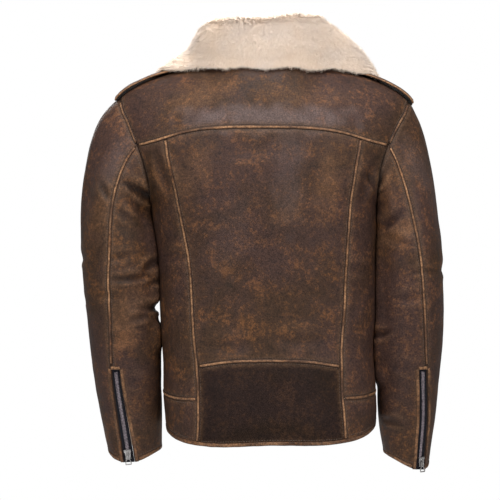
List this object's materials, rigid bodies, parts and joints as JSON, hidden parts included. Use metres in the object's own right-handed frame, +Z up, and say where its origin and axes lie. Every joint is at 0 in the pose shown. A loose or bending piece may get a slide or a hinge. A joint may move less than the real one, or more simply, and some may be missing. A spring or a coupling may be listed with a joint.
{
  "type": "sheepskin flying jacket",
  "caption": "Waist-length sheepskin flying jacket, filled out with no wearer, with a wide fur collar, zipped front and cuffs, shoulder straps and raised seams.",
  "frame": {"origin": "middle of the neck opening, level with where the collar crosses the shoulders, which is where the wearer holds the jacket up", "axes": "+Z up along the back, +Y out of the back, -Y out of the zipped front, +X towards the jacket's own left sleeve"},
  "size_m": [0.6309, 0.2795, 0.7913],
  "materials": {
    "distressed_hide": "satin, worn and mottled",
    "dark_hide": "satin, less worn",
    "worn_edge": "rubbed to a tan crest",
    "cream_wool": "sheepskin wool, fluffy",
    "zip_tape": "matte woven tape",
    "zip_metal": "polished metal"
  },
  "bodies": {
    "jacket": {"back_yoke": "distressed_hide", "back_centre": "distressed_hide", "back_waist": "dark_hide", "back_side_left": "distressed_hide", "back_side_right": "distressed_hide", "front_left": "distressed_hide", "front_right": "distressed_hide", "hem_band_left": "distressed_hide", "hem_band_right": "distressed_hide", "sleeve_top_left": "distressed_hide", "sleeve_top_right": "distressed_hide", "sleeve_under_left": "distressed_hide", "sleeve_under_right": "distressed_hide", "collar": "cream_wool", "epaulette_left": "distressed_hide", "epaulette_right": "distressed_hide", "welt_yoke": "worn_edge", "welt_waist": "worn_edge", "welt_back_left": "worn_edge", "welt_back_right": "worn_edge", "welt_band_left": "worn_edge", "welt_band_right": "worn_edge", "welt_armhole_back_left": "worn_edge", "welt_armhole_back_right": "worn_edge", "welt_armhole_front_left": "worn_edge", "welt_armhole_front_right": "worn_edge", "welt_sleeve_back_left": "worn_edge", "welt_sleeve_back_right": "worn_edge", "welt_sleeve_front_left": "worn_edge", "welt_sleeve_front_right": "worn_edge", "hem_edge": "worn_edge", "cuff_edge_left": "worn_edge", "cuff_edge_right": "worn_edge", "zip_edge_outer_left": "worn_edge", "zip_edge_outer_right": "worn_edge", "zip_edge_inner_left": "worn_edge", "zip_edge_inner_right": "worn_edge", "front_edge_left": "worn_edge", "front_edge_right": "worn_edge", "zip_tape_front": "zip_tape", "zip_tape_cuff_left": "zip_tape", "zip_tape_cuff_right": "zip_tape", "zip_chain_front": "zip_metal", "zip_chain_cuff_left": "zip_metal", "zip_chain_cuff_right": "zip_metal", "zip_slider_front": "zip_metal", "zip_slider_cuff_left": "zip_metal", "zip_slider_cuff_right": "zip_metal"},
    "pull_front": {"zip_pull_front": "zip_metal"},
    "pull_cuff_left": {"zip_pull_cuff_left": "zip_metal"},
    "pull_cuff_right": {"zip_pull_cuff_right": "zip_metal"}
  },
  "joints": [
    {"name": "front_pull_swing", "type": "hinge", "parent": "jacket", "child": "pull_front", "pos_m": [0.003, -0.11347, -0.05042], "axis": [-0.9993, -0.0131, -0.0363], "range_deg": [0, 160]},
    {"name": "cuff_pull_left_swing", "type": "hinge", "parent": "jacket", "child": "pull_cuff_left", "pos_m": [0.23992, 0.01317, -0.6698], "axis": [0.9764, -0.1853, -0.1107], "range_deg": [-8, 160]},
    {"name": "cuff_pull_right_swing", "type": "hinge", "parent": "jacket", "child": "pull_cuff_right", "pos_m": [-0.27177, 0.00259, -0.68363], "axis": [0.7841, 0.619, -0.0455], "range_deg": [-8, 160]}
  ]
}
